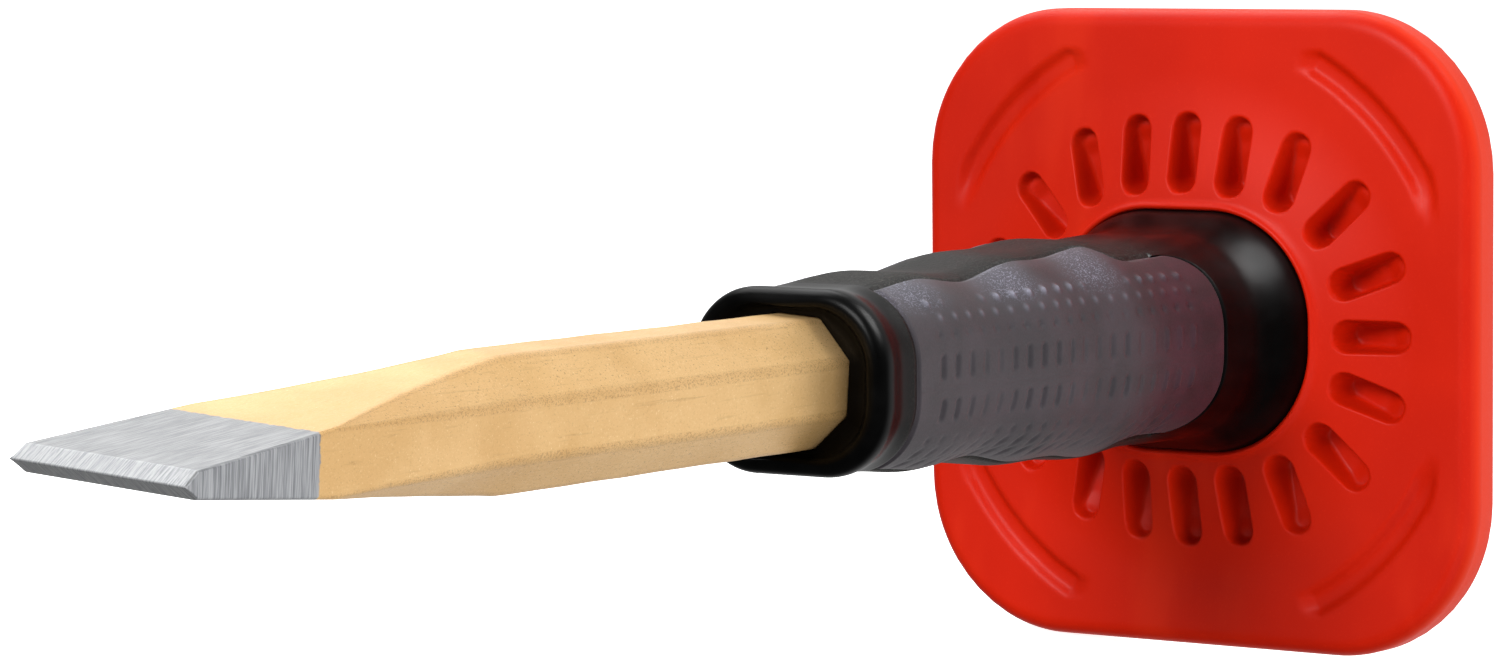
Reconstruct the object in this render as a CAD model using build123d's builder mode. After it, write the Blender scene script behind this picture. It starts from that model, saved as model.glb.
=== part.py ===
"""Mason's flat chisel with a slip-on hand guard grip, 300 mm long.

X runs along the tool from the cutting edge (-X) to the struck head (+X), Z is up and the blade
lies flat.  The origin is the middle of the struck face.  The grip is square to itself, but it sits
a few degrees round from the blade, so its sections are drawn on planes turned about X.
"""
import os
from math import radians, tan

from build123d import *

# ---- Steel bar -----------------------------------------------------------------------------------
LENGTH = 300.0              # cutting edge to struck face
SHANK = 18.0                # octagon, across flats
FLAT = SHANK * tan(radians(22.5))  # width of one flat of the octagon
EDGE_WIDTH = 27.5           # width of the blade at the cutting edge
SHOULDER_WIDTH = 23.7       # width where the forged shoulder starts
EDGE_LAND = 0.2             # thickness left at the very edge
BEVEL_LENGTH = 2.3
BEVEL_THICKNESS = 3.5       # blade thickness where the ground bevel starts
EDGE_BREAK = 0.3            # small flats along the blade's long corners
SHOULDER_START = 29.5       # distance from the cutting edge
SHOULDER_END = 70.0         # from here on the bar is a plain octagon
SHOULDER_THICKNESS = 8.9
SHOULDER_SIDE = 8.2         # height of the side face where the shoulder starts
SHOULDER_STEPS = 5
SHOULDER_CURVE = 1.6        # how quickly the top flat narrows into the octagon
HEAD_FLAT_RADIUS = 7.2      # radius left flat on the struck face
HEAD_CHAMFER_LENGTH = 5.0   # the chamfer meets the octagon's corners about here
HEAD_CHAMFER_RADIUS = 10.08
OCTAGON = 8                 # sides
OCTAGON_TURN = 22.5         # puts a flat on top

# ---- Guard: plate and sleeve, one moulding -------------------------------------------------------
GRIP_TURN = -4.0            # grip about X from square with the blade, degrees
CLEARANCE = 0.15            # bore to bar, each side
PLATE_FRONT = -58.1
PLATE_SIZE = 96.0
PLATE_CORNER = 24.0
PLATE_THICKNESS = 7.2
PLATE_FRONT_ROUND = 2.6
PLATE_BACK_ROUND = 1.4
DOME_RISE = 3.2             # the front bulges towards the grip
DOME_FOOT = 39.0            # radius where the bulge starts
DOME_TOP = 17.0             # radius of its flat top
BOSS_RADIUS = 15.0          # low ring round the bore on the back
BOSS_HEIGHT = 2.5
BOSS_EDGE = 0.8
# Blind slots in one quarter of the plate, mirrored into the others: middle across and up, and the
# lean of the slot from upright in degrees.  They sit on a squarish ring, 18 degrees apart.
SLOTS = [(0, 26.6, 0), (8.5, 26.1, 4), (17.5, 24.0, 16), (25.8, 18.0, 45), (30.8, 9.0, 70), (31.6, 0, 90)]
SLOT_LENGTH = 12.0
SLOT_WIDTH = 4.8
SLOT_FLOOR = PLATE_FRONT + 2.8
GROOVE_RADIUS = 45.5        # four arcs, one in each corner
GROOVE_WIDTH = 4.4
GROOVE_HALF_ANGLE = 16.5
GROOVE_DEPTH = 1.1
CORNER_MIDDLE = 45.0        # direction of the plate's first corner
QUARTER = 90.0
CUT_CLEAR = 5.0             # how far the cutting tools reach past the surface
SLEEVE_FRONT = -158.5
SLEEVE_WIDTH = 24.6
SLEEVE_HEIGHT = 22.4
SLEEVE_CORNER = 8.0

# ---- Grip over the sleeve ------------------------------------------------------------------------
# Outside of the grip, front to back: x, width, height, corner radius.  Four low swells for fingers.
GRIP_SECTIONS = [
    (-163.6, 32.0, 25.2, 10.4),
    (-161.4, 32.6, 25.6, 10.6),
    (-157.5, 30.8, 25.0, 10.4),
    (-153.5, 30.6, 25.5, 10.5),
    (-142.5, 30.6, 27.5, 11.2),
    (-132.5, 31.0, 26.5, 11.4),
    (-119.5, 32.2, 29.9, 12.4),
    (-109.5, 32.2, 30.2, 12.8),
    (-99.5, 33.6, 31.6, 13.4),
    (-89.5, 33.8, 30.2, 13.4),
    (-79.0, 34.8, 30.6, 13.6),
    (-72.0, 35.8, 30.6, 13.6),
    (-66.0, 39.6, 32.6, 14.6),
    (-62.0, 43.2, 35.7, 16.2),
    (-59.0, 43.8, 36.3, 16.5),
]
COLLAR_ROUND = 1.8          # front rim
COLLAR_RECESS_DEPTH = 2.2   # dished front face round the bar
COLLAR_RECESS_MARGIN = 3.0  # rim left round the dish
COLLAR_RECESS_TAPER = 14.0
COLLAR_BACK = -153.5        # front ends of the side panels
PANEL_TALL_BACK = -98.5     # in front of this the panels reach up to the spine
PANEL_BACK = -77.1          # rearmost point of the side panels
PANEL_REAR_HEIGHT = 26.0    # behind the step the panels are lower, with rounded corners
PANEL_REAR_CORNER = 9.5
PANEL_REACH = 30.0          # taller and wider than the grip, only to cut with
# Spine along the top and bottom, half widths front to back.
SPINE = [
    (-156.0, 8.1), (-143.0, 7.7), (-136.0, 8.7), (-130.5, 8.4), (-122.0, 7.8),
    (-116.5, 8.1), (-105.0, 7.2), (-90.0, 7.2), (-60.0, 7.2),
]

# Planes of the turned grip: across the tool, from above and from the side.
ACROSS = Plane.YZ.rotated((GRIP_TURN, 0, 0))
FROM_ABOVE = Plane.XY.rotated((GRIP_TURN, 0, 0))
FROM_SIDE = Plane.XZ.rotated((GRIP_TURN, 0, 0))
BORE = SHANK / 2 + CLEARANCE


def bar_outline(width, thickness, flat, side):
    """Corners of an eight-sided bar section: top flat, sloping facets and upright side faces."""
    right = [(width / 2, side / 2), (flat / 2, thickness / 2)]
    upper = right + [(-y, z) for y, z in reversed(right)]
    return upper + [(y, -z) for y, z in reversed(upper)]


def blend(start, end, share):
    return start + (end - start) * share


# Forged steel bar: flat blade, shoulder, octagonal shank and chamfered head.
with BuildPart() as chisel_bar:
    blade_slope = (SHOULDER_THICKNESS - BEVEL_THICKNESS) / (SHOULDER_START - BEVEL_LENGTH)
    tip_thickness = BEVEL_THICKNESS - blade_slope * BEVEL_LENGTH
    blade_ends = [
        (0, EDGE_WIDTH, tip_thickness),
        (SHOULDER_START, SHOULDER_WIDTH, SHOULDER_THICKNESS),
    ]
    for back, width, thickness in blade_ends:
        flat = width - 2 * EDGE_BREAK
        side = thickness - 2 * EDGE_BREAK
        with BuildSketch(Plane.YZ.offset(back - LENGTH)):
            Polygon(*bar_outline(width, thickness, flat, side), align=None)
    loft(ruled=True)
    for step in range(SHOULDER_STEPS + 1):
        share = step / SHOULDER_STEPS
        width = blend(SHOULDER_WIDTH, SHANK, share)
        thickness = blend(SHOULDER_THICKNESS, SHANK, share)
        flat = FLAT + (SHOULDER_WIDTH - 2 * EDGE_BREAK - FLAT) * (1 - share) ** SHOULDER_CURVE
        side = blend(SHOULDER_SIDE, FLAT, share)
        with BuildSketch(Plane.YZ.offset(blend(SHOULDER_START, SHOULDER_END, share) - LENGTH)):
            Polygon(*bar_outline(width, thickness, flat, side), align=None)
    loft()
    with BuildSketch(Plane.YZ.offset(SHOULDER_END - LENGTH)):
        Polygon(*bar_outline(SHANK, SHANK, FLAT, FLAT), align=None)
    extrude(amount=LENGTH - SHOULDER_END)
    with BuildSketch(Plane.XZ):
        for sign in (1, -1):
            Polygon(
                (-LENGTH, sign * EDGE_LAND / 2),
                (BEVEL_LENGTH - LENGTH, sign * BEVEL_THICKNESS / 2),
                (-LENGTH, sign * BEVEL_THICKNESS),
                align=None,
            )
    extrude(amount=EDGE_WIDTH, both=True, mode=Mode.SUBTRACT)
    with BuildSketch(Plane.XZ):
        Polygon(
            (0, HEAD_FLAT_RADIUS),
            (0, SHANK),
            (-SHANK, SHANK),
            (-HEAD_CHAMFER_LENGTH, HEAD_CHAMFER_RADIUS),
            align=None,
        )
    revolve(axis=Axis.X, mode=Mode.SUBTRACT)
chisel_bar.part.label = "chisel_bar"

# Outside shape of the whole grip, cut into the mouldings below.
with BuildPart() as grip_envelope:
    for x, width, height, corner in GRIP_SECTIONS:
        with BuildSketch(ACROSS.offset(x)):
            RectangleRounded(width, height, corner)
    loft()
    fillet(grip_envelope.faces().sort_by(Axis.X)[0].edges(), COLLAR_ROUND)

# Guard: rounded square plate with blind slots and arc grooves, and the sleeve under the grip.
with BuildPart() as guard:
    with BuildSketch(ACROSS.offset(PLATE_FRONT)):
        RectangleRounded(PLATE_SIZE, PLATE_SIZE, PLATE_CORNER)
    extrude(amount=PLATE_THICKNESS)
    fillet(guard.faces().sort_by(Axis.X)[0].edges(), PLATE_FRONT_ROUND)
    fillet(guard.faces().sort_by(Axis.X)[-1].edges(), PLATE_BACK_ROUND)
    with BuildSketch(Plane.XZ):
        with BuildLine():
            foot = (PLATE_FRONT, DOME_FOOT)
            rim = (PLATE_FRONT - DOME_RISE, DOME_TOP)
            Spline(foot, rim, tangents=((0, -1), (0, -1)))
            Polyline(rim, (rim[0], 0), (PLATE_FRONT, 0), foot)
        make_face()
    revolve(axis=Axis.X)
    with BuildSketch(ACROSS.offset(PLATE_FRONT + PLATE_THICKNESS)):
        Circle(BOSS_RADIUS)
    extrude(amount=BOSS_HEIGHT)
    fillet(guard.faces().sort_by(Axis.X)[-1].edges(), BOSS_EDGE)
    with BuildSketch(ACROSS.offset(SLEEVE_FRONT)):
        RectangleRounded(SLEEVE_WIDTH, SLEEVE_HEIGHT, SLEEVE_CORNER)
    extrude(amount=PLATE_FRONT - SLEEVE_FRONT)
    with BuildSketch(ACROSS.offset(SLOT_FLOOR)):
        for across, up, lean in SLOTS:
            # the slots on the plate's middle lines are their own mirror images
            for side in (1, -1) if across else (1,):
                for half in (1, -1) if up else (1,):
                    with Locations((side * across, half * up)):
                        SlotOverall(SLOT_LENGTH, SLOT_WIDTH, rotation=QUARTER - side * half * lean)
    extrude(amount=-(DOME_RISE + CUT_CLEAR), mode=Mode.SUBTRACT)
    with BuildSketch(ACROSS.offset(PLATE_FRONT + GROOVE_DEPTH)):
        for corner in range(4):
            start = CORNER_MIDDLE + QUARTER * corner - GROOVE_HALF_ANGLE
            sweep_angle = 2 * GROOVE_HALF_ANGLE
            arc = CenterArc((0, 0), GROOVE_RADIUS, start, sweep_angle, mode=Mode.PRIVATE)
            SlotArc(arc, GROOVE_WIDTH)
    extrude(amount=-(GROOVE_DEPTH + CUT_CLEAR), mode=Mode.SUBTRACT)
    with BuildSketch(Plane.YZ.offset(SLEEVE_FRONT)):
        RegularPolygon(BORE, OCTAGON, major_radius=False, rotation=OCTAGON_TURN)
    extrude(amount=-SLEEVE_FRONT, mode=Mode.SUBTRACT)
guard.part.label = "guard"

# Space of the side panels: a long outline from the side, less the spine seen from above.
with BuildPart() as panel_space:
    with BuildSketch(FROM_SIDE):
        with Locations(((COLLAR_BACK + PANEL_TALL_BACK) / 2, 0)):
            Rectangle(PANEL_TALL_BACK - COLLAR_BACK, 2 * PANEL_REACH)
        # the lower rear part starts well inside the tall one
        with Locations(((COLLAR_BACK + PANEL_BACK) / 2, 0)):
            RectangleRounded(PANEL_BACK - COLLAR_BACK, PANEL_REAR_HEIGHT, PANEL_REAR_CORNER)
    extrude(amount=PANEL_REACH, both=True)
    with BuildSketch(FROM_ABOVE):
        with BuildLine():
            Spline(*SPINE)
            Line(SPINE[-1], (SPINE[-1][0], -SPINE[-1][1]))
            Spline(*[(x, -half) for x, half in reversed(SPINE)])
            Line((SPINE[0][0], -SPINE[0][1]), SPINE[0])
        make_face()
    extrude(amount=PANEL_REACH, both=True, mode=Mode.SUBTRACT)

# Hard frame of the grip: front collar, spine strips and rear flange, one moulding.
with BuildPart() as grip_frame:
    add(grip_envelope.part)
    with BuildSketch(ACROSS.offset(GRIP_SECTIONS[0][0])):
        _, width, height, corner = GRIP_SECTIONS[0]
        RectangleRounded(
            width - 2 * COLLAR_RECESS_MARGIN,
            height - 2 * COLLAR_RECESS_MARGIN,
            corner - COLLAR_RECESS_MARGIN,
        )
    extrude(amount=COLLAR_RECESS_DEPTH, taper=COLLAR_RECESS_TAPER, mode=Mode.SUBTRACT)
    with BuildSketch(Plane.YZ.offset(GRIP_SECTIONS[0][0])):
        RegularPolygon(BORE, OCTAGON, major_radius=False, rotation=OCTAGON_TURN)
    extrude(until=Until.LAST, mode=Mode.SUBTRACT)
    add(panel_space.part, mode=Mode.SUBTRACT)
    add(guard.part, mode=Mode.SUBTRACT)
grip_frame.part.label = "grip_frame"

# Soft side panels, each a shell over the sleeve.
with BuildPart() as grip_panels:
    add(grip_envelope.part)
    add(panel_space.part, mode=Mode.INTERSECT)
    add(guard.part, mode=Mode.SUBTRACT)
    with BuildSketch(Plane.YZ.offset(GRIP_SECTIONS[0][0])):
        RegularPolygon(BORE, OCTAGON, major_radius=False, rotation=OCTAGON_TURN)
    extrude(amount=-GRIP_SECTIONS[0][0], mode=Mode.SUBTRACT)
left_solid, right_solid = grip_panels.solids().sort_by(Axis.Y, reverse=True)
grip_panel_left = Part(left_solid.wrapped, label="grip_panel_left")
grip_panel_right = Part(right_solid.wrapped, label="grip_panel_right")

os.makedirs("parts", exist_ok=True)
for piece in (chisel_bar.part, guard.part, grip_frame.part, grip_panel_left, grip_panel_right):
    export_step(piece, f"parts/{piece.label}.step")
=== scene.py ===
"""Looks of a mason's flat chisel with a hand guard: a detailed mesh and material for each CAD node."""
import math

import bmesh
import bpy
import numpy as np
from mathutils import Matrix, Vector


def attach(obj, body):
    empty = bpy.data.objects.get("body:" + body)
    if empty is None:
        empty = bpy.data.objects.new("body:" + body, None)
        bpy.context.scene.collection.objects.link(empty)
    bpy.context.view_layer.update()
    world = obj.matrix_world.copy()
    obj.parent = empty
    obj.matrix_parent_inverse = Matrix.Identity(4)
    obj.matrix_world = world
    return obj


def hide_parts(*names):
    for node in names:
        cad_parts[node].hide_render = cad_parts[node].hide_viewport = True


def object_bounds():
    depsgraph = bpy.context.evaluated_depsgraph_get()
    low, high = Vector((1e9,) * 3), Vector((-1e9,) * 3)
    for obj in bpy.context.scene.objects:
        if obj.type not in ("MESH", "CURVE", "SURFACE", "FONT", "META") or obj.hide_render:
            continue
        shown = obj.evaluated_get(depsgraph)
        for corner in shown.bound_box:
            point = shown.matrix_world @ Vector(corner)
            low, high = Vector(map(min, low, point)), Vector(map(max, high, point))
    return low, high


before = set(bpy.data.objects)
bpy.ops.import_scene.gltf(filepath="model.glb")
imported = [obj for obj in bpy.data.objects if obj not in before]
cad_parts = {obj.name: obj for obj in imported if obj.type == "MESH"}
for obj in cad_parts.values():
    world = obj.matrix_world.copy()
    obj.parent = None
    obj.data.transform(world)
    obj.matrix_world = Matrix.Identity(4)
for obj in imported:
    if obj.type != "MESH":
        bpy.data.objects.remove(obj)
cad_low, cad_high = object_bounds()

MM = 0.001
MERGE_GRID = 0.002          # points this near each other, in millimetres, become one
SHARP_ANGLE = math.radians(70)

# ---- Camera --------------------------------------------------------------------------------------
CAMERA_PLACE = Vector((-0.77592, -0.43233, 0.09734))
CAMERA_FORWARD = Vector((0.80732, 0.57776, -0.12009))
CAMERA_DOWN = Vector((-0.06925, -0.10933, -0.99159))
CAMERA_LENS = 134.15

forward = CAMERA_FORWARD.normalized()
right = (CAMERA_DOWN.cross(forward)).normalized()
up = right.cross(forward)
camera = bpy.data.objects.new("camera", bpy.data.cameras.new("camera"))
bpy.context.scene.collection.objects.link(camera)
turn = Matrix((right, up, -forward)).transposed()
camera.matrix_world = Matrix.Translation(CAMERA_PLACE) @ turn.to_4x4()
camera.data.sensor_width = 36
camera.data.lens = CAMERA_LENS
camera.data.clip_start = 0.01
camera.data.clip_end = 50
bpy.context.scene.camera = camera

# ---- Dimensions, in millimetres, as in the CAD ----------------------------------------------------
GRIP_TURN = math.radians(-4)
LENGTH = 300
SHANK = 18
FLAT = SHANK * math.tan(math.radians(22.5))
EDGE_WIDTH = 27.5
EDGE_LAND = 0.2
BEVEL_LENGTH = 2.3
BEVEL_THICKNESS = 3.5
EDGE_BREAK = 0.3
SHOULDER_START = 29.5
SHOULDER_END = 70
SHOULDER_WIDTH = 23.7
SHOULDER_THICKNESS = 8.9
SHOULDER_SIDE = 8.2
SHOULDER_CURVE = 1.6
HEAD_FLAT_RADIUS = 7.2
HEAD_CHAMFER = 5
HEAD_CHAMFER_RADIUS = 10.08
LACQUER_LINE = -274.5

PLATE_FRONT = -58.1
PLATE_HALF = 48
PLATE_CORNER = 24
PLATE_THICKNESS = 7.2
PLATE_FRONT_ROUND = 2.6
PLATE_BACK_ROUND = 1.4
DOME_RISE = 3.2
DOME_FOOT = 39
DOME_TOP = 17
BOSS_RADIUS = 15
BOSS_HEIGHT = 2.5
BOSS_EDGE = 0.8
BOSS_TOP_RADIUS = 14.2
FLANGE = (21.75, 17.95, 16.4)
EJECTOR_MARKS = 8
EJECTOR_CIRCLE = 34
# middle (across, up) of each slot in one quarter of the plate, and its lean from upright in degrees
SLOTS = [(0, 26.6, 0), (8.5, 26.1, 4), (17.5, 24.0, 16), (25.8, 18.0, 45), (30.8, 9.0, 70), (31.6, 0, 90)]
SLOT_HALF = 3.6
SLOT_RADIUS = 2.4
SLOT_FLOOR = PLATE_FRONT + 2.8
SLOT_BAND_IN = 6.4          # the band of the plate's mesh that holds the slots, from the line through them
SLOT_BAND_OUT = 6.7
GROOVE_RADIUS = 45.5
GROOVE_HALF_WIDTH = 2.2
GROOVE_HALF_ANGLE = math.radians(16.5)
GROOVE_DEPTH = 1.1
SLEEVE_FRONT = -158.5
SLEEVE = (12.3, 11.2, 8)
ROUND_SLEEVE = (SLEEVE[0] + 0.05, SLEEVE[1] + 0.05, SLEEVE[2])      # inside of the pieces on the sleeve
BORE = SHANK / 2 + 0.15

# x, half width, half height and corner radius of the grip
GRIP_SECTIONS = np.array([
    (-163.6, 16.0, 12.6, 10.4), (-161.4, 16.3, 12.8, 10.6), (-157.5, 15.4, 12.5, 10.4),
    (-153.5, 15.3, 12.75, 10.5), (-142.5, 15.3, 13.75, 11.2), (-132.5, 15.5, 13.25, 11.4),
    (-119.5, 16.1, 14.95, 12.4), (-109.5, 16.1, 15.1, 12.8), (-99.5, 16.8, 15.8, 13.4),
    (-89.5, 16.9, 15.1, 13.4), (-79.0, 17.4, 15.3, 13.6), (-72.0, 17.9, 15.3, 13.6),
    (-69.4, 18.3, 15.4, 13.8), (-67.0, 19.3, 16.0, 14.4), (-65.0, 20.4, 16.8, 15.1),
    (-63.0, 21.3, 17.6, 16.0), (-61.0, 21.75, 18.0, 16.4), (-59.0, 21.9, 18.15, 16.5),
])
# x and half width of the spine; from the step at -99 on, of the edge of the lower rear part of the panels
SPINE = np.array([
    (-156.0, 8.1), (-151.0, 7.85), (-143.0, 7.7), (-138.5, 8.5), (-135.0, 8.75), (-130.5, 8.4), (-126.0, 8.0),
    (-122.0, 7.8), (-117.0, 8.15), (-110.5, 7.6), (-104.5, 7.2), (-102.0, 7.5), (-100.4, 8.3), (-99.1, 9.9),
    (-97.9, 11.1), (-96.5, 11.5), (-95.0, 11.4), (-90.4, 10.8), (-86.9, 10.7), (-60.0, 10.7),
])
GRIP_FRONT = -163.6
RIM_DEPTH = 2.0
RIM_ROUND = 1.9
DISH_FLOOR = -161.4
COLLAR_BACK = -153.5
PANEL_BACK = -77.1
PANEL_END = 9.75            # length of the rounded rear end of a side panel
PANEL_CORNER = PANEL_BACK - PANEL_END
SEAM = 0.3                  # depth of the rounded joint between two grip pieces
SEAM_REACH = 0.55           # and how far it reaches from the joint
GRIP_BACK = -59.4
PARTING = -1.5              # height of the mould line on the side panels


# ---- Small tools ----------------------------------------------------------------------------------
def smooth(low, high, value):
    share = np.clip((np.asarray(value, float) - low) / (high - low), 0, 1)
    return share * share * (3 - 2 * share)


def curve_through(table, column, x):
    """A smooth curve through a table's column, at x."""
    xs, ys = table[:, 0], table[:, column]
    slopes = np.gradient(ys, xs)
    x = np.clip(np.asarray(x, float), xs[0], xs[-1])
    i = np.clip(np.searchsorted(xs, x, side="right") - 1, 0, len(xs) - 2)
    span = xs[i + 1] - xs[i]
    t = (x - xs[i]) / span
    return (
        ys[i] * (1 + 2 * t) * (1 - t) ** 2 + slopes[i] * span * t * (1 - t) ** 2
        + ys[i + 1] * t * t * (3 - 2 * t) + slopes[i + 1] * span * t * t * (t - 1)
    )


def outline(angle, half_width, half_height, corner):
    """Distance from the middle of a rounded rectangle to its edge, in the direction of angle."""
    c, s = np.abs(np.cos(angle)), np.abs(np.sin(angle))
    straight = np.minimum(half_width / np.maximum(c, 1e-9), half_height / np.maximum(s, 1e-9))
    cx, cy = half_width - corner, half_height - corner
    b = cx * c + cy * s
    round_part = b + np.sqrt(np.maximum(b * b - (cx * cx + cy * cy - corner * corner), 0))
    return np.where((straight * c > cx) & (straight * s > cy), round_part, straight)


def octagon(angle, half):
    """The same for the bar's octagon, which is square with the blade and not with the grip."""
    local = np.mod(angle + GRIP_TURN + math.radians(22.5), math.radians(45)) - math.radians(22.5)
    return half / np.cos(local)


def placed(x, across, height):
    """Points of the turned grip in the object's frame."""
    x, across, height = np.broadcast_arrays(x, across, height)
    c, s = math.cos(GRIP_TURN), math.sin(GRIP_TURN)
    return np.stack((x, across * c - height * s, across * s + height * c), axis=-1)


def ring(x, angle, radius):
    return placed(x, radius * np.cos(angle), radius * np.sin(angle))


def steps(start, end, count, edge):
    """Even steps from start up to end, with extra ones at these distances from both ends."""
    even = np.linspace(start, end, count)
    near = [start + e for e in edge] + [end - e for e in edge]
    return np.unique(np.round(np.concatenate((even, near)), 6))


def mesh_piece(name, patches, material, body, node, attributes):
    """One closed mesh from grids of points whose edges meet, in millimetres. Attributes are grids too."""
    points, quads, values, start = [], [], {}, 0
    for grid, closed in patches:
        rows, columns = grid.shape[:2]
        points.append(grid.reshape(-1, 3))
        number = start + np.arange(rows * columns).reshape(rows, columns)
        if closed:
            number = np.concatenate((number, number[:, :1]), axis=1)
        quads.append(np.stack(
            (number[:-1, :-1], number[1:, :-1], number[1:, 1:], number[:-1, 1:]), axis=-1
        ).reshape(-1, 4))
        start += rows * columns
    points, quads = np.concatenate(points), np.concatenate(quads)
    for key, grids in attributes.items():
        values[key] = np.concatenate([
            np.broadcast_to(g, p[0].shape[:2]).reshape(-1) for g, p in zip(grids, patches)
        ])
    _, first, merged = np.unique(np.round(points / MERGE_GRID).astype(np.int64), axis=0,
                                 return_index=True, return_inverse=True)
    quads = merged.reshape(-1)[quads]
    mesh = bpy.data.meshes.new(name)
    faces = []
    for quad in quads.tolist():
        face = [v for i, v in enumerate(quad) if v != quad[i - 1]]
        if len(face) > 2 and len(set(face)) == len(face):
            faces.append(face)
    mesh.from_pydata((points[first] * MM).tolist(), [], faces)
    for key, value in values.items():
        attribute = mesh.attributes.new(key, "FLOAT", "POINT")
        attribute.data.foreach_set("value", value[first].astype(np.float32))
    bm = bmesh.new()
    bm.from_mesh(mesh)
    bmesh.ops.recalc_face_normals(bm, faces=bm.faces)
    bm.to_mesh(mesh)
    bm.free()
    mesh.shade_smooth()
    mesh.set_sharp_from_angle(angle=SHARP_ANGLE)
    piece = bpy.data.objects.new(name, mesh)
    bpy.context.scene.collection.objects.link(piece)
    mesh.materials.append(material)
    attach(piece, body)
    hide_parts(node)
    return piece


# ---- Materials ------------------------------------------------------------------------------------
class Nodes:
    """A short way to write a procedural material."""

    def __init__(self, name):
        self.material = bpy.data.materials.new(name)
        self.material.use_nodes = True
        self.tree = self.material.node_tree
        self.shader = self.tree.nodes["Principled BSDF"]
        self.place = self.add("ShaderNodeTexCoord").outputs["Object"]

    def add(self, kind, inputs=None, **settings):
        node = self.tree.nodes.new(kind)
        for key, value in settings.items():
            setattr(node, key, value)
        for key, value in (inputs or {}).items():
            self.put(node.inputs[key], value)
        return node

    def put(self, socket, value):
        if isinstance(value, bpy.types.NodeSocket):
            self.tree.links.new(value, socket)
        else:
            socket.default_value = value

    def set(self, **inputs):
        for key, value in inputs.items():
            self.put(self.shader.inputs[key.replace("_", " ")], value)

    def scaled(self, x, y, z):
        return self.add("ShaderNodeMapping", {"Vector": self.place, "Scale": (x, y, z)}).outputs[0]

    def noise(self, scale, detail=2.0, rough=0.5, place=None):
        return self.add("ShaderNodeTexNoise", {
            "Vector": place or self.place, "Scale": scale, "Detail": detail, "Roughness": rough,
        }).outputs["Fac"]

    def span(self, value, low, high, to_low=0.0, to_high=1.0, kind="SMOOTHSTEP"):
        return self.add("ShaderNodeMapRange", {
            "Value": value, "From Min": low, "From Max": high, "To Min": to_low, "To Max": to_high,
        }, interpolation_type=kind).outputs[0]

    def math(self, operation, a, b=0.0):
        return self.add("ShaderNodeMath", {0: a, 1: b}, operation=operation).outputs[0]

    def mix(self, share, a, b):
        node = self.add("ShaderNodeMix", data_type="RGBA")
        self.put(node.inputs["Factor"], share)
        self.put(node.inputs["A"], a)
        self.put(node.inputs["B"], b)
        return node.outputs["Result"]

    def blend(self, share, a, b):
        """Between two numbers, as mix is between two colours."""
        return self.add("ShaderNodeMix", {"Factor": share, "A": a, "B": b}).outputs["Result"]

    def bump(self, height, strength, distance):
        return self.add("ShaderNodeBump", {
            "Height": height, "Strength": strength, "Distance": distance,
        }).outputs[0]

    def attribute(self, name):
        return self.add("ShaderNodeAttribute", attribute_name=name).outputs["Fac"]


def colour(r, g, b):
    """A linear colour from 0 to 255 screen values."""
    return tuple(((c / 255 + 0.055) / 1.055) ** 2.4 if c > 10 else c / 3294.6 for c in (r, g, b)) + (1.0,)


def bar_material():
    """Gold lacquer over forged steel, and the bare ground tip."""
    n = Nodes("lacquered_steel")
    x = n.add("ShaderNodeSeparateXYZ", {"Vector": n.place}).outputs["X"]
    normal = n.add("ShaderNodeSeparateXYZ", {"Vector": n.add("ShaderNodeTexCoord").outputs["Normal"]})
    ragged = n.math("ADD", x, n.span(n.noise(900), 0.3, 0.7, -0.00025, 0.00025, "LINEAR"))
    lacquer = n.span(ragged, LACQUER_LINE * MM - 0.0002, LACQUER_LINE * MM + 0.0002)
    facet = n.attribute("facet")
    # lacquer: drawn grain along the bar, fine metallic speckle, denser on the sloping facets
    drawn = n.noise(1.0, 3, 0.6, n.scaled(60, 1600, 1600))
    grain = n.noise(1.0, 4, 0.65, n.scaled(900, 4200, 4200))
    speckle = n.noise(3400, 2, 0.8)
    cloud = n.noise(60, 3, 0.6)
    warm = n.mix(n.span(cloud, 0.35, 0.65), colour(214, 172, 112), colour(224, 184, 126))
    streaked = n.mix(n.span(drawn, 0.60, 0.78, 0.0, 0.28), warm, colour(150, 108, 52))
    pale = n.mix(n.span(speckle, 0.60, 0.74, 0.0, 0.55), streaked, colour(250, 226, 178))
    dusk = n.mix(
        n.math("MULTIPLY", n.span(speckle, 0.42, 0.28, 0.0, 0.75), n.span(facet, 0, 1, 0.35, 1.0)),
        pale, colour(120, 84, 34),
    )
    wear = n.math("MULTIPLY", n.attribute("edge"), n.span(speckle, 0.48, 0.64, 0.0, 0.5))
    edge_tint = n.mix(wear, dusk, colour(134, 92, 36))
    # bare steel: grinding lines along the top, upright lines on the sides
    lines_top = n.noise(1.0, 3, 0.7, n.scaled(160, 3600, 400))
    lines_side = n.noise(1.0, 3, 0.7, n.scaled(2600, 400, 90))
    side = n.span(n.math("ABSOLUTE", normal.outputs["Y"]), 0.6, 0.9)
    lines = n.blend(side, lines_top, lines_side)
    steel = n.mix(n.span(lines, 0.32, 0.68), colour(118, 120, 123), colour(168, 169, 170))
    steel = n.mix(side, steel, n.mix(n.span(lines, 0.3, 0.7), colour(112, 114, 118), colour(182, 184, 187)))
    roughness = n.blend(
        lacquer,
        n.span(lines, 0.3, 0.7, 0.34, 0.50, "LINEAR"),
        n.span(grain, 0.3, 0.7, 0.36, 0.52, "LINEAR"),
    )
    metal = n.span(lacquer, 0, 1, 0.65, 0.50, "LINEAR")
    height = n.blend(
        lacquer,
        n.math("MULTIPLY", lines, 0.8),
        n.math("ADD", n.math("MULTIPLY", speckle, 0.6), n.math("MULTIPLY", drawn, 0.5)),
    )
    n.set(Base_Color=n.mix(lacquer, steel, edge_tint), Metallic=metal, Roughness=roughness,
          Normal=n.bump(height, 0.5, 0.00008))
    return n.material


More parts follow.
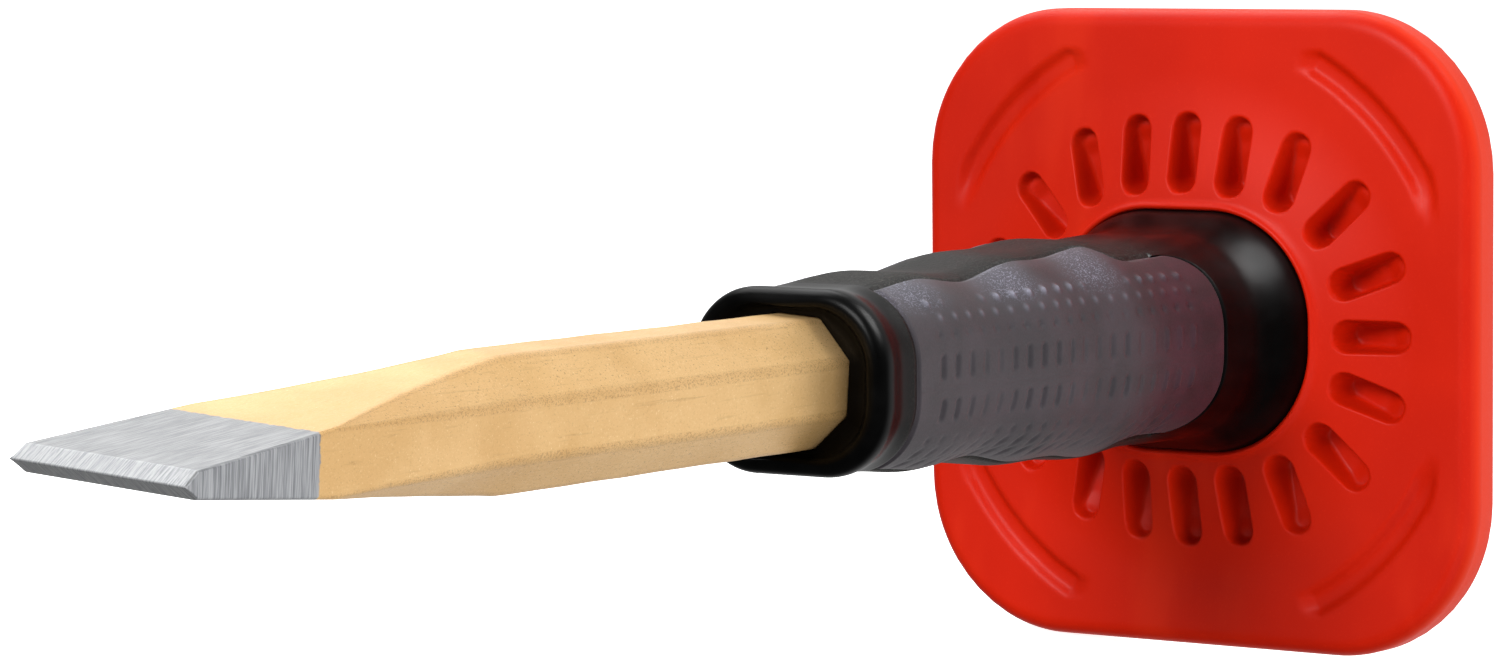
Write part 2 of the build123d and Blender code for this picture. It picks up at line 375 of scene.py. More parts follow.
def red_material():
    """Injection moulded red plastic with a fine spark-eroded grain, and a painted sheen that makes the rim
    paler.
    """
    n = Nodes("red_moulded_plastic")
    grain = n.noise(2600, 3, 0.6)
    cloud = n.noise(28, 3, 0.55)
    flow = n.noise(1.0, 3, 0.6, n.scaled(8, 70, 26))
    base = n.mix(n.span(cloud, 0.3, 0.7), colour(180, 22, 1), colour(190, 27, 3))
    base = n.mix(n.span(flow, 0.5, 0.72, 0.0, 0.25), base, colour(212, 48, 18))
    base = n.mix(n.span(grain, 0.56, 0.74, 0.0, 0.20), base, colour(214, 52, 22))
    # painted sheen: the rim is paler than the face
    base = n.mix(n.attribute("painted_rim_sheen"), base, colour(232, 60, 26))
    n.set(Base_Color=base, Roughness=n.span(grain, 0.3, 0.7, 0.38, 0.50, "LINEAR"), Specular_IOR_Level=0.13,
          Normal=n.bump(n.math("ADD", grain, n.math("MULTIPLY", cloud, 0.3)), 0.16, 0.00006))
    return n.material


def black_material():
    """Hard black plastic: glossy collar and flange, pebble grain along the spine, with painted shade along
    it.
    """
    n = Nodes("black_moulded_plastic")
    grain = n.attribute("grain")
    cells = n.add("ShaderNodeTexVoronoi", {"Vector": n.place, "Scale": 1900}, feature="SMOOTH_F1")
    pebble = n.math("MULTIPLY", cells.outputs["Distance"], grain)
    fine = n.noise(3000, 3, 0.6)
    smear = n.noise(90, 3, 0.6)
    coarse = n.span(fine, 0.46, 0.70)
    # the grain attribute also carries painted shade: the strips are darker from x = -136 back
    spine = n.mix(coarse, colour(16, 16, 14), colour(68, 67, 63))
    plain = n.mix(n.span(smear, 0.35, 0.65), colour(2, 2, 2), colour(6, 6, 6))
    roughness = n.blend(
        grain,
        n.span(smear, 0.3, 0.7, 0.27, 0.36, "LINEAR"),
        n.span(fine, 0.3, 0.7, 0.50, 0.68, "LINEAR"),
    )
    height = n.math("ADD", n.math("MULTIPLY", pebble, 1.6), n.math("MULTIPLY", fine, 0.5))
    n.set(Base_Color=n.mix(grain, plain, spine), Roughness=roughness, Specular_IOR_Level=0.08,
          Normal=n.bump(height, n.span(grain, 0, 1, 0.12, 0.7, "LINEAR"), 0.0001))
    return n.material


def rubber_material():
    """Soft grey rubber. The red of the sleeve is painted by an attribute, and so are the painted highlights
    on the upper swells and on the pips.
    """
    n = Nodes("grey_soft_rubber")
    pip_highlight = n.attribute("pip_highlight")
    thin = n.attribute("thin")
    lit = n.attribute("swell_highlight")
    fine = n.noise(3600, 2, 0.7)
    cloud = n.noise(130, 4, 0.6)
    flow = n.noise(1.0, 3, 0.6, n.scaled(40, 300, 160))
    grey = n.mix(n.span(cloud, 0.3, 0.7), colour(50, 47, 51), colour(59, 55, 60))
    grey = n.mix(n.span(flow, 0.5, 0.75, 0.0, 0.3), grey, colour(48, 49, 52))
    # painted highlight: the upper swells are paler, with a painted glint of fine sparkle on them
    painted_glint = n.math("MULTIPLY", n.span(fine, 0.50, 0.66), lit)
    grey = n.mix(n.math("MULTIPLY", lit, 0.35), grey, colour(84, 84, 99))
    grey = n.mix(n.math("MULTIPLY", painted_glint, 0.7), grey, colour(160, 161, 178))
    # painted highlight on the pips
    grey = n.mix(n.math("MULTIPLY", pip_highlight, 0.6), grey, colour(164, 164, 182))
    red = n.mix(n.span(cloud, 0.3, 0.7), colour(38, 18, 26), colour(60, 26, 38))
    tint = n.math("MULTIPLY", thin, n.span(flow, 0.3, 0.7, 0.75, 1.0, "LINEAR"))
    n.set(Base_Color=n.mix(tint, grey, red), Roughness=n.span(fine, 0.3, 0.7, 0.46, 0.62, "LINEAR"),
          Normal=n.bump(fine, n.span(lit, 0, 1, 0.15, 0.5, "LINEAR"), 0.00008),
          Specular_IOR_Level=0.45, Sheen_Weight=0.05)
    return n.material


# ---- Steel bar ------------------------------------------------------------------------------------
def bar_shape(x):
    """Width, thickness, top flat and side height of the bar at x."""
    back = x + LENGTH
    slope = (SHOULDER_THICKNESS - BEVEL_THICKNESS) / (SHOULDER_START - BEVEL_LENGTH)
    if back < SHOULDER_START:
        width = EDGE_WIDTH + (SHOULDER_WIDTH - EDGE_WIDTH) * back / SHOULDER_START
        thickness = BEVEL_THICKNESS + slope * (back - BEVEL_LENGTH)
        if back < BEVEL_LENGTH:
            thickness = EDGE_LAND + (BEVEL_THICKNESS - EDGE_LAND) * back / BEVEL_LENGTH
        side = max(thickness - 2 * EDGE_BREAK, thickness * 0.6)
        return width, thickness, width - 2 * EDGE_BREAK, side
    share = min((back - SHOULDER_START) / (SHOULDER_END - SHOULDER_START), 1)
    wide = SHOULDER_WIDTH - 2 * EDGE_BREAK
    return (
        SHOULDER_WIDTH + (SHANK - SHOULDER_WIDTH) * share,
        SHOULDER_THICKNESS + (SHANK - SHOULDER_THICKNESS) * share,
        FLAT + (wide - FLAT) * (1 - share) ** SHOULDER_CURVE,
        SHOULDER_SIDE + (FLAT - SHOULDER_SIDE) * share,
    )


def bar_section(x):
    """The bar's eight-sided section with its corners rounded, and how near each point is to a corner."""
    width, thickness, flat, side = bar_shape(x)
    corners = [
        (width / 2, -side / 2), (width / 2, side / 2),
        (flat / 2, thickness / 2), (-flat / 2, thickness / 2),
        (-width / 2, side / 2), (-width / 2, -side / 2),
        (-flat / 2, -thickness / 2), (flat / 2, -thickness / 2),
    ]
    corners = [np.array(c) for c in corners]
    soft = 0.25 + 0.55 * float(smooth(-275, -235, x))
    points, edge, facet = [], [], []
    for i, corner in enumerate(corners):
        before, after = corners[i - 1], corners[(i + 1) % 8]
        to_before, to_after = before - corner, after - corner
        room = 0.35 * min(np.linalg.norm(to_before), np.linalg.norm(to_after))
        reach = min(soft, room)
        start = corner + to_before / np.linalg.norm(to_before) * reach
        end = corner + to_after / np.linalg.norm(to_after) * reach
        for t in (0, 0.2, 0.4, 0.6, 0.8, 1):
            points.append(start * (1 - t) ** 2 + corner * 2 * t * (1 - t) + end * t * t)
            edge.append(1.0)
            facet.append(0.5)
        length = np.linalg.norm(after - corner)
        next_reach = min(soft, 0.35 * min(length, np.linalg.norm(corners[(i + 2) % 8] - after)))
        finish = after - to_after / length * next_reach
        for t in (0.04, 0.15, 0.32, 0.5, 0.68, 0.85, 0.96):
            points.append(end + (finish - end) * t)
            edge.append(0.0)
            facet.append(1.0 if i % 2 else 0.0)
    return np.array(points), np.array(edge), np.array(facet)


def make_bar():
    stations = [-LENGTH + back for back in (0, 0.12, 0.6, 1.4, 2.1, 2.24, 2.36, 2.6)]
    stations += list(np.arange(-LENGTH + 3.5, -HEAD_CHAMFER - 0.3, 1.0))
    stations += [-5.2, -4.9, -4.4, -3.6, -2.8, -2.0, -1.2, -0.5, -0.2, -0.05]
    rows, edges, facets = [], [], []
    phase = np.random.default_rng(7).uniform(0, 6.28, 6)
    for x in stations:
        section, edge, facet = bar_section(x)
        radius = np.hypot(section[:, 0], section[:, 1])
        angle = np.arctan2(section[:, 1], section[:, 0])
        # hammered unevenness, only outside the ground tip
        rough = smooth(-272, -262, x) * smooth(-2, -10, x)
        wave = (np.sin(x * 0.31 + phase[0] + 3 * np.sin(angle)) + np.sin(x * 0.13 + phase[1] + 4 * angle)
                + np.sin(x * 0.53 + phase[2] - 2 * angle)) * 0.02
        limit = HEAD_FLAT_RADIUS + (HEAD_CHAMFER_RADIUS - HEAD_FLAT_RADIUS) * (-x) / HEAD_CHAMFER
        new = radius - 0.03 * rough + wave * rough
        if x > -HEAD_CHAMFER - 0.5:
            new = np.minimum(new, limit)
        section = section * (new / np.maximum(radius, 1e-6))[:, None]
        rows.append(np.column_stack((np.full(len(section), x), section)))
        edges.append(edge)
        facets.append(facet)
    # the struck face and the cutting edge close the two ends
    face = rows[-1] * np.array((0, 1, 1))
    shrinking = (0.985, 0.9, 0.6, 0.3, 0.0)
    rows += [face * np.array((1, f, f)) for f in shrinking]
    edges += [edges[-1] * 0] * len(shrinking)
    facets += [facets[-1] * 0] * len(shrinking)
    front = rows[0] * np.array((1, 1, 0))
    rows.insert(0, front)
    edges.insert(0, edges[0])
    facets.insert(0, facets[0])
    grid = np.stack(rows)
    return mesh_piece("steel_bar", [(grid, True)], bar_material(), "chisel", "chisel_bar",
                      {"edge": [np.stack(edges)], "facet": [np.stack(facets)]})


# ---- Guard plate and sleeve -----------------------------------------------------------------------
def slot_places():
    """Middle and outward direction of every slot, clockwise from the top."""
    quarter = [(u, v, math.radians(lean)) for u, v, lean in SLOTS]
    half = quarter + [(u, -v, math.pi - lean) for u, v, lean in quarter[-2::-1]]
    whole = half + [(-u, v, -lean) for u, v, lean in half[-2:0:-1]]
    middles = np.array([(u, v) for u, v, _ in whole])
    return middles, np.array([(math.sin(lean), math.cos(lean)) for _, _, lean in whole])


def slot_band():
    """Points along a line through all the slots, dense at their sides, and its outward directions."""
    across = (-3.1, -2.75, -2.6, -2.45, -2.3, -2.15, -2.0, -1.8, -1.5, -1.0, -0.5, 0.0,
              0.5, 1.0, 1.5, 1.8, 2.0, 2.15, 2.3, 2.45, 2.6, 2.75, 3.1)
    middles, normals = slot_places()
    along = np.column_stack((normals[:, 1], -normals[:, 0]))
    points, outward = [], []
    for i in range(len(middles)):
        points += [middles[i] + s * along[i] for s in across]
        outward += [normals[i]] * len(across)
        following = (i + 1) % len(middles)
        start = middles[i] + across[-1] * along[i]
        end = middles[following] + across[0] * along[following]
        for share in (0.25, 0.5, 0.75):
            points.append(start + (end - start) * share)
            normal = normals[i] + (normals[following] - normals[i]) * share
            outward.append(normal / np.linalg.norm(normal))
    return np.array(points), np.array(outward)


def plate_surface(across, height):
    """How far the plate's front stands at a point, and how much the tool mark lightens it."""
    radius = np.hypot(across, height)
    angle = np.arctan2(height, across)
    x = PLATE_FRONT - DOME_RISE * smooth(DOME_FOOT, DOME_TOP, radius)
    # seam and lip round the grip's flange
    flange = radius - outline(angle, *FLANGE)
    x = x - 0.45 * np.exp(-((flange - 0.75) / 0.5) ** 2) + 0.9 * smooth(0.28, 0.0, flange)
    # blind slots with a ramped outer end
    for centre, normal in zip(*slot_places()):
        du, dv = across - centre[0], height - centre[1]
        along = du * normal[0] + dv * normal[1]
        beside = -du * normal[1] + dv * normal[0]
        reach = np.hypot(np.maximum(np.abs(along) - SLOT_HALF, 0), beside) - SLOT_RADIUS
        inside = smooth(0.18, -0.85, reach)
        floor = SLOT_FLOOR + 0.9 * smooth(2.0, -4.0, along) - 0.9 * smooth(1.6, 4.6, along)
        floor = floor - 0.25 * (beside / SLOT_RADIUS) ** 2
        x = x + inside * (floor - x)
    # four shallow arcs
    for corner in range(4):
        middle = math.pi / 4 + corner * math.pi / 2
        off = np.mod(angle - middle + math.pi, 2 * math.pi) - math.pi
        past = np.maximum(np.abs(off) - GROOVE_HALF_ANGLE, 0) * GROOVE_RADIUS
        reach = np.hypot(past, radius - GROOVE_RADIUS) / GROOVE_HALF_WIDTH
        x = x + GROOVE_DEPTH * smooth(1.08, 0.35, reach)
    return x


def make_guard():
    path, normal = slot_band()
    inner, outer = path - SLOT_BAND_IN * normal, path + SLOT_BAND_OUT * normal
    inner_angle = np.arctan2(inner[:, 1], inner[:, 0])
    outer_angle = np.arctan2(outer[:, 1], outer[:, 0])

    def around(angle, sizes):
        radius = outline(angle, *sizes)
        return np.column_stack((radius * np.cos(angle), radius * np.sin(angle)))

    # closely spaced rings cover the lip and the seam round the flange
    flange_in = around(inner_angle, (21.35, 17.55, 16.0))
    flange_out = around(inner_angle, (22.9, 19.1, 17.3))
    sleeve = around(inner_angle, SLEEVE)
    flat_edge = PLATE_HALF - PLATE_FRONT_ROUND
    face = around(outer_angle, (flat_edge, flat_edge, PLATE_CORNER - PLATE_FRONT_ROUND))
    face_rings = []

    def between(a, b, shares):
        face_rings.extend(a + (b - a) * s for s in shares)

    between(sleeve, flange_in, np.linspace(0, 1, 4, endpoint=False))
    between(flange_in, flange_out, np.linspace(0, 1, 13, endpoint=False))
    between(flange_out, inner, np.linspace(0, 1, 3, endpoint=False))
    band = np.concatenate((
        np.linspace(-SLOT_BAND_IN, -3.3, 14), np.linspace(-2.9, 2.9, 12), np.linspace(3.3, SLOT_BAND_OUT, 14),
    ))
    face_rings.extend(path + o * normal for o in band)
    between(outer, face, np.linspace(0, 1, 37)[1:])
    rows, painted_rim_sheen = [], []

    # each ring's second value is its share of the painted rim sheen
    def add(points, edge_tint=0.0):
        rows.append(points)
        painted_rim_sheen.append(np.full(len(points), edge_tint))

    def plate_outline(inset):
        return outline(outer_angle, PLATE_HALF - inset, PLATE_HALF - inset, PLATE_CORNER - inset)

    octagon_in = octagon(inner_angle, BORE)
    octagon_out = octagon(outer_angle, BORE)
    sleeve_radius = outline(inner_angle, *SLEEVE)
    back = PLATE_FRONT + PLATE_THICKNESS
    # bore, from the back of the boss to the front of the sleeve
    bore_stations = (back + BOSS_HEIGHT - 0.3, back, -75, -100, -130, SLEEVE_FRONT + 0.3)
    for x, share in zip(bore_stations, np.linspace(0, 1, len(bore_stations))):
        angle = outer_angle + (inner_angle - outer_angle) * share
        add(ring(x, angle, octagon(angle, BORE)))
    add(ring(SLEEVE_FRONT, inner_angle, octagon_in + 0.25))
    add(ring(SLEEVE_FRONT, inner_angle, sleeve_radius - 0.25))
    for x in (SLEEVE_FRONT + 0.25, -140, -120, -100, -80, -65):
        add(ring(x, inner_angle, sleeve_radius))
    # front face
    for points in face_rings:
        x = plate_surface(points[:, 0], points[:, 1])
        add(placed(x, points[:, 0], points[:, 1]))
    # rim: rounded to the front and the back, and painted paler as a sheen
    for degrees in (12, 25, 40, 55, 70, 82, 90):
        t = math.radians(degrees)
        inset = PLATE_FRONT_ROUND * (1 - math.sin(t))
        x = PLATE_FRONT + PLATE_FRONT_ROUND * (1 - math.cos(t))
        add(ring(x, outer_angle, plate_outline(inset)), float(smooth(40, 80, degrees)) * 0.6)
    for depth in (PLATE_FRONT_ROUND + 0.2, 3.9):
        add(ring(PLATE_FRONT + depth, outer_angle, plate_outline(0)), 0.7)
    for degrees in (0, 20, 40, 60, 78, 90):
        t = math.radians(degrees)
        x = back - PLATE_BACK_ROUND * (1 - math.sin(t))
        inset = PLATE_BACK_ROUND * (1 - math.cos(t))
        add(ring(x, outer_angle, plate_outline(inset)), 0.6 - 0.1 * degrees / 15)
    # back face with shallow ejector marks, then the boss
    back_half = PLATE_HALF - PLATE_BACK_ROUND
    back_edge = around(outer_angle, (back_half, back_half, PLATE_CORNER - PLATE_BACK_ROUND))
    foot_half = BOSS_RADIUS + 0.6
    boss_foot = around(outer_angle, (foot_half, foot_half, BOSS_RADIUS + 0.59))
    for share in np.linspace(0, 1, 24)[1:]:
        points = back_edge + (boss_foot - back_edge) * share
        x = np.full(len(points), back)
        for mark in range(EJECTOR_MARKS):
            direction = mark * 2 * math.pi / EJECTOR_MARKS + 0.39
            centre = EJECTOR_CIRCLE * np.array((math.cos(direction), math.sin(direction)))
            x -= 0.3 * smooth(3.6, 2.8, np.hypot(*(points - centre).T))
        add(placed(x, points[:, 0], points[:, 1]))
    boss = (
        (0.2, 15.15), (0.6, BOSS_RADIUS), (BOSS_HEIGHT - BOSS_EDGE, BOSS_RADIUS),
        (BOSS_HEIGHT - 0.4, 14.85), (BOSS_HEIGHT - 0.12, 14.55), (BOSS_HEIGHT, BOSS_TOP_RADIUS),
    )
    for height, radius in boss:
        add(ring(back + height, outer_angle, radius))
    for share in (0.3, 0.7, 1.0):
        radius = BOSS_TOP_RADIUS + (octagon_out + 0.3 - BOSS_TOP_RADIUS) * share
        add(ring(back + BOSS_HEIGHT, outer_angle, radius))
    rows.append(rows[0])
    painted_rim_sheen.append(painted_rim_sheen[0])
    return mesh_piece("guard_plate", [(np.stack(rows), True)], red_material(), "grip", "guard",
                      {"painted_rim_sheen": [np.stack(painted_rim_sheen)]})


# ---- Grip: hard frame and soft side panels --------------------------------------------------------
def grip_radius(x, angle):
    return outline(angle, curve_through(GRIP_SECTIONS, 1, x), curve_through(GRIP_SECTIONS, 2, x),
                   curve_through(GRIP_SECTIONS, 3, x))


def spine_angle(x):
    """Direction from the middle of the grip to the upper edge of its side panel."""
    half_width, half_height, corner = (curve_through(GRIP_SECTIONS, i, x) for i in (1, 2, 3))
    reach = (curve_through(SPINE, 1, x) - (half_width - corner)) / corner
    rise = half_height - corner + corner * np.sqrt(1 - np.clip(reach, -1, 1) ** 2)
    return np.arctan2(rise, curve_through(SPINE, 1, x))


def panel_end(share):
    """x of the rear edge of a side panel, for a share of the way up from its middle to the spine."""
    return PANEL_CORNER + PANEL_END * np.power(np.maximum(1 - np.power(np.abs(share), 4.3), 0), 1 / 1.65)


# rows and columns of the grip's meshes, with extra ones near the joints, from their usual lengths
PANEL_EDGE = (0.0, 0.10, 0.22, 0.38, 0.6)
STRIP_HALF = 7
PANEL_ROWS = steps(-1, 1, 131, [e / 19 for e in PANEL_EDGE])
PANEL_COLUMNS = steps(0, 1, 262, [e / 72 for e in PANEL_EDGE])
REAR_COLUMNS = steps(0, 1, 44, [e / 24 for e in PANEL_EDGE])
STRIP_ROWS = steps(-1, 1, 25, [e / STRIP_HALF for e in PANEL_EDGE])


def panel_details(x, arc):
    """Relief of a side panel (dashes beside the mould line, rows of pips) and where its pips get a painted
    highlight.
    """
    pitch, first, count = 3.45, -147.4, 19
    lift, glint = np.zeros_like(x), np.zeros_like(x)

    def column(shift, lean=0.0, middle=0.0):
        place = x - first - shift - lean * (arc - middle)
        index = np.clip(np.round(place / pitch), 0, count - 1)
        return place - index * pitch

    wave = 0.35 + 0.65 * np.abs(np.cos((x - first) / 23.8 * math.pi)) ** 1.5
    rear = smooth(-104, -92, x)
    depth = -0.44 * wave * (1 - rear) + 0.34 * rear
    for low, high, lean in ((1.3, 4.7, 0.04), (-4.5, -1.4, 0.12)):
        across = np.exp(-(column(0, lean, (low + high) / 2) / 0.42) ** 2)
        along = smooth(low - 0.25, low + 0.5, arc) * smooth(high + 0.25, high - 0.5, arc)
        lift += depth * across * along
    fade = 0.55 + 0.45 * np.cos((x + 122) / 17.5 * math.pi)
    for row, size, tall in ((7.4, 0.50, -0.36), (9.9, 0.48, 0.26), (12.3, 0.54, 0.46)):
        shift = 0.4 * pitch if row == 9.9 else 0.0
        reach = np.hypot(column(shift), arc - row)
        amount = tall * (0.45 + 0.55 * fade) if row < 12 else tall * smooth(0.05, 0.6, fade)
        spot = np.exp(-(reach / size) ** 2)
        lift += amount * spot
        # painted highlight on the middle and upper rows of pips
        glint += spot * (0.0 if row < 8 else 0.35 if row < 12 else smooth(0.1, 0.7, fade))
    for row, lean in ((-7.4, 0.0), (-9.8, 0.55), (-12.2, 0.8)):
        reach = np.hypot(column(0.2 * row, lean, row) / 0.5, (arc - row) / (0.6 if row > -8 else 1.1))
        lift -= 0.28 * (0.4 + 0.6 * fade) * np.exp(-reach ** 2)
    lift += 0.10 * np.exp(-(arc / 0.16) ** 2)
    return lift, glint


def panel_grids(side):
    """Outer and inner points of one side panel, how red it is painted, and where it gets painted highlights
    on the swells and the pips.
    """
    share, along = np.meshgrid(PANEL_ROWS, PANEL_COLUMNS)
    x = COLLAR_BACK + along * (panel_end(share) - COLLAR_BACK)
    angle = share * spine_angle(x)
    radius = grip_radius(x, angle)
    across, height = radius * np.cos(angle), radius * np.sin(angle)
    step = np.hypot(np.diff(across, axis=1), np.diff(height, axis=1))
    arc = np.concatenate((np.zeros((len(x), 1)), np.cumsum(step, axis=1)), axis=1)
    middle = np.array([np.interp(PARTING, h, a) for h, a in zip(height, arc)])[:, None]
    top = arc[:, -1:]
    from_line = arc - middle
    length = panel_end(share) - COLLAR_BACK
    border = np.minimum(np.minimum(arc, top - arc), np.minimum(along, 1 - along) * length)
    lift = 0.12 - 0.42 * smooth(SEAM_REACH, 0.0, border)
    relief, glint = panel_details(x, from_line)
    lift = lift + relief * smooth(0.3, 1.2, border)
    radius_out = radius + lift
    inner = outline(angle, *ROUND_SLEEVE)
    turned = angle if side > 0 else math.pi - angle
    valley = sum(np.exp(-((x - v) / 4.2) ** 2) for v in (-137.0, -116.0, -96.0))
    near_spine = smooth(10.5, 16.5, np.abs(from_line))
    rear = 0.85 * smooth(-103, -88, x) + 0.10 + 0.10 * smooth(-125, -100, x)
    thin = np.clip(0.95 * valley * near_spine + rear, 0, 1)
    # painted highlight along the upper shoulder of each swell
    swell = sum(np.exp(-((x - v) / 5.5) ** 2) for v in (-148.5, -125.5, -105.5))
    swell_highlight = np.clip(smooth(9.5, 14.5, from_line) * swell, 0, 1)
    marks = {"thin": thin, "swell_highlight": swell_highlight, "pip_highlight": np.clip(glint, 0, 1)}
    return ring(x, turned, radius_out), ring(x, turned, inner), marks


def wall(outer, inner, count=3):
    """A wall between two edges that have the same points."""
    return np.stack([outer + (inner - outer) * s for s in np.linspace(0, 1, count)])


def make_panel(name, node, side):
    outer, inner, marks = panel_grids(side)
    patches = [(outer, False), (inner, False)]
    cuts = [np.s_[0, :], np.s_[-1, :], np.s_[:, 0], np.s_[:, -1]]
    patches += [(wall(outer[cut], inner[cut]), False) for cut in cuts]
    values = {key: [grid, grid] + [grid[cut][None] for cut in cuts] for key, grid in marks.items()}
    return mesh_piece(name, patches, rubber, "grip", node, values)


def make_frame():
    front_angle = float(spine_angle(COLLAR_BACK))
    side_angles = PANEL_ROWS * front_angle
    strip_angles = math.pi / 2 + STRIP_ROWS * (math.pi / 2 - front_angle)
    around = np.concatenate((
        side_angles[:-1], strip_angles[:-1], math.pi + side_angles[:-1], math.pi + strip_angles[:-1],
    ))
    patches, grain = [], []

    # collar, from the panels forward over the rim, into the dish and back along the sleeve
    rows, marks = [], []
    strip_seam = smooth(SEAM_REACH, 0.0, (1 - np.abs(STRIP_ROWS[:-1])) * STRIP_HALF)
    on_seam = np.concatenate((np.ones(len(side_angles) - 1), strip_seam) * 2)
    first_rows = [COLLAR_BACK - e for e in (0, 0.12, 0.3, 0.6)]
    for x in np.concatenate((first_rows, np.arange(COLLAR_BACK - 1.1, DISH_FLOOR, -0.5))):
        seam = SEAM * float(smooth(SEAM_REACH, 0.0, COLLAR_BACK - x))
        rows.append(ring(x, around, grip_radius(x, around) - seam * on_seam))
        marks.append(0.25 * float(smooth(-157.5, COLLAR_BACK, x)) + np.zeros(len(around)))
    rim_outer = grip_radius(GRIP_FRONT + RIM_DEPTH, around)
    for degrees in range(0, 91, 9):
        t = math.radians(degrees)
        radius = rim_outer - RIM_ROUND * (1 - math.cos(t))
        rows.append(ring(GRIP_FRONT + RIM_DEPTH * (1 - math.sin(t)), around, radius))
        marks.append(np.zeros(len(around)))
    dish = rim_outer - RIM_ROUND - 0.3
    bore = octagon(around, BORE)
    dish_rows = (
        (GRIP_FRONT + 0.02, 0.0), (-163.4, 0.08), (-162.8, 0.2), (-162.0, 0.33), (-161.55, 0.5),
        (DISH_FLOOR, 0.75), (DISH_FLOOR, 0.96),
        (DISH_FLOOR + 0.1, 1.0), (DISH_FLOOR + 1.2, 1.0), (SLEEVE_FRONT - 0.1, 1.0),
    )
    for x, share in dish_rows:
        rows.append(ring(x, around, dish + (bore - dish) * share))
        marks.append(np.zeros(len(around)))
    sleeve_radius = outline(around, *ROUND_SLEEVE)
    for x in (SLEEVE_FRONT - 0.1, -156.0, COLLAR_BACK):
        rows.append(ring(x, around, sleeve_radius))
        marks.append(np.zeros(len(around)))
    patches.append((np.stack(rows), True))
    grain.append(np.stack(marks))

    # spine strips along the top and the bottom, from the collar to the end of the flange
    xs = np.concatenate((
        COLLAR_BACK + PANEL_COLUMNS * (PANEL_CORNER - COLLAR_BACK),
        PANEL_CORNER + REAR_COLUMNS[1:] * (GRIP_BACK - PANEL_CORNER),
    ))
    front = len(PANEL_COLUMNS)
    share, x = np.meshgrid(STRIP_ROWS, xs)
    reach = math.pi / 2 - spine_angle(x)
    beside = (1 - np.abs(share)) * STRIP_HALF
    seam = SEAM * smooth(SEAM_REACH, 0.0, beside) * smooth(PANEL_CORNER + SEAM_REACH, PANEL_CORNER, x)
    # where the strips show their grey pebble grain: faint at the collar, full from x = -150, cut by a third
    # from x = -136 back as painted shade, and gone at the flange
    strip_grain_and_shade = smooth(-78, -92, x) * (0.35 + 0.65 * smooth(-156, -150, x))
    strip_grain_and_shade = strip_grain_and_shade * (1 - 0.35 * smooth(-142, -136, x))
    for middle in (math.pi / 2, 1.5 * math.pi):
        angle = middle + share * reach
        outer = ring(x, angle, grip_radius(x, angle) - seam)
        inner = ring(x, angle, outline(angle, *ROUND_SLEEVE))
        patches += [(outer, False), (inner, False), (wall(outer[-1], inner[-1]), False),
                    (wall(outer[:front, 0], inner[:front, 0]), False),
                    (wall(outer[:front, -1], inner[:front, -1]), False)]
        grain += [strip_grain_and_shade, strip_grain_and_shade, strip_grain_and_shade[-1:, :], strip_grain_and_shade[None, :front, 0],
                  strip_grain_and_shade[None, :front, -1]]

    # sides behind the panels
    share, along = np.meshgrid(PANEL_ROWS, REAR_COLUMNS)
    start = panel_end(share)
    x = start + along * (GRIP_BACK - start)
    angle = share * spine_angle(x)
    for side in (1, -1):
        turned = angle if side > 0 else math.pi + angle
        beside = along * (GRIP_BACK - start)
        outer = ring(x, turned, grip_radius(x, turned) - SEAM * smooth(SEAM_REACH, 0.0, beside))
        inner = ring(x, turned, outline(turned, *ROUND_SLEEVE))
        patches += [(outer, False), (inner, False), (wall(outer[0], inner[0]), False),
                    (wall(outer[-1], inner[-1]), False)]
        grain += [np.zeros(x.shape), np.zeros(x.shape), np.zeros((1, x.shape[1])), np.zeros((1, x.shape[1]))]
        # front wall of the panel's pocket
        pocket = side_angles if side > 0 else math.pi + side_angles
        edge = ring(COLLAR_BACK, pocket, grip_radius(COLLAR_BACK, pocket) - SEAM)
        foot = ring(COLLAR_BACK, pocket, outline(pocket, *ROUND_SLEEVE))
        patches.append((wall(edge, foot), False))
        grain.append(np.zeros((1, len(pocket))))
    return mesh_piece("grip_shell", patches, black_material(), "grip", "grip_frame",
                      {"grain": grain})


rubber = rubber_material()
make_bar()
make_guard()
grip_shell = make_frame()
make_panel("side_panel_left", "grip_panel_left", 1)
make_panel("side_panel_right", "grip_panel_right", -1)


# ---- Floor and light ------------------------------------------------------------------------------
floor_mesh = bpy.data.meshes.new("floor")
FLOOR = cad_low.z - 0.0002
floor_mesh.from_pydata([(-9, -9, FLOOR), (9, -9, FLOOR), (9, 9, FLOOR), (-9, 9, FLOOR)], [], [(0, 1, 2, 3)])
floor = bpy.data.objects.new("floor", floor_mesh)
bpy.context.scene.collection.objects.link(floor)
paper = Nodes("floor_paper")
paper.set(Base_Color=paper.mix(paper.noise(6), (0.86, 0.86, 0.86, 1), (0.88, 0.88, 0.88, 1)), Roughness=0.9,
          Emission_Color=(1, 1, 1, 1), Emission_Strength=0.9)
floor_mesh.materials.append(paper.material)
floor.visible_glossy = False
floor.visible_diffuse = False
floor.visible_shadow = False


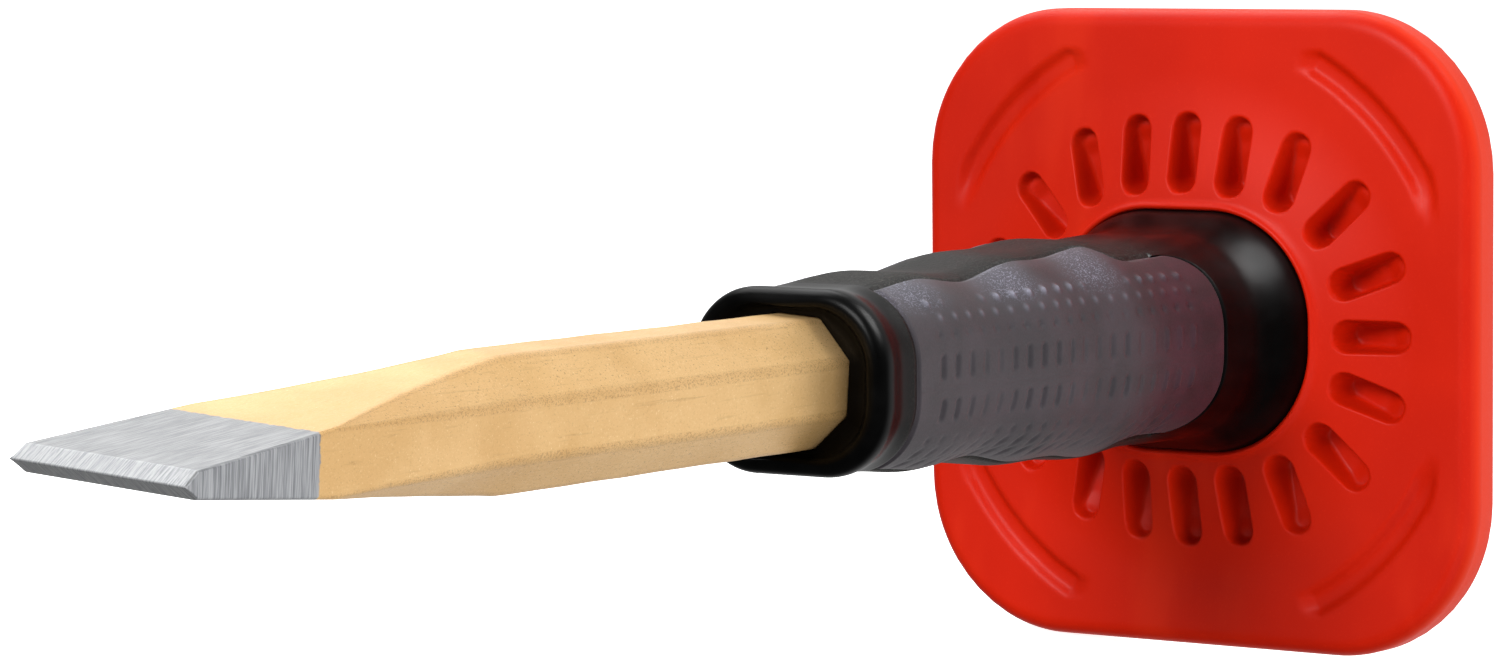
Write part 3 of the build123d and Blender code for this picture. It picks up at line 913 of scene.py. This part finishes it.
def softbox(name, place, aim, size, power, glossy=True, diffuse=True):
    light = bpy.data.lights.new(name, "AREA")
    light.shape = "RECTANGLE"
    light.size, light.size_y = size
    light.energy = power
    lamp = bpy.data.objects.new(name, light)
    bpy.context.scene.collection.objects.link(lamp)
    lamp.location = place
    lamp.rotation_mode = "QUATERNION"
    lamp.rotation_quaternion = (Vector(aim) - Vector(place)).to_track_quat("-Z", "Y")
    lamp.visible_glossy = glossy
    lamp.visible_diffuse = diffuse
    return lamp


AIM = (-0.10, 0.0, 0.0)
softbox("key", (-1.20, 0.12, 0.68), AIM, (0.55, 0.45), 16.0)
softbox("overhead", (0.03, -0.46, 0.85), AIM, (0.34, 0.30), 2.6)
glint = softbox("glint", (0.03, -0.46, 0.85), AIM, (0.34, 0.30), 58.0, diffuse=False)
black_only = bpy.data.collections.new("black_only")
black_only.objects.link(grip_shell)
glint.light_linking.receiver_collection = black_only
softbox("overhead_back", (0.05, 0.60, 0.80), AIM, (0.95, 0.5), 6.5)
softbox("front_left", (-1.2, 0.35, 0.10), AIM, (0.8, 0.8), 3.0, glossy=False)
softbox("front_right", (-0.35, -1.2, 0.10), AIM, (0.9, 0.7), 8.5, glossy=False)
softbox("card_right", (0.90, -0.78, -0.10), AIM, (1.0, 0.8), 1.2)
softbox("fill_low", (-0.85, -0.75, -0.60), AIM, (0.9, 0.9), 6.0, glossy=False)

# white for the camera; for the lighting, brighter from behind the object than from in front
world = bpy.data.worlds.new("studio")
world.use_nodes = True
bpy.context.scene.world = world
nodes, links = world.node_tree.nodes, world.node_tree.links
backdrop = nodes["Background"]
backdrop.inputs["Color"].default_value = (1, 1, 1, 1)
rays = nodes.new("ShaderNodeLightPath")
strength = nodes.new("ShaderNodeMapRange")
facing = nodes.new("ShaderNodeSeparateXYZ")
links.new(nodes.new("ShaderNodeTexCoord").outputs["Generated"], facing.inputs[0])
behind = nodes.new("ShaderNodeMapRange")
behind.interpolation_type = "SMOOTHSTEP"
for key, value in (("From Min", 0.15), ("From Max", 0.6), ("To Min", 0.12), ("To Max", 0.80)):
    behind.inputs[key].default_value = value
links.new(facing.outputs["X"], behind.inputs["Value"])
links.new(behind.outputs[0], strength.inputs["To Min"])
strength.inputs["To Max"].default_value = 1.0
links.new(rays.outputs["Is Camera Ray"], strength.inputs["Value"])
links.new(strength.outputs[0], backdrop.inputs["Strength"])

bpy.context.scene.view_settings.view_transform = "Standard"
bpy.context.scene.view_settings.look = "None"
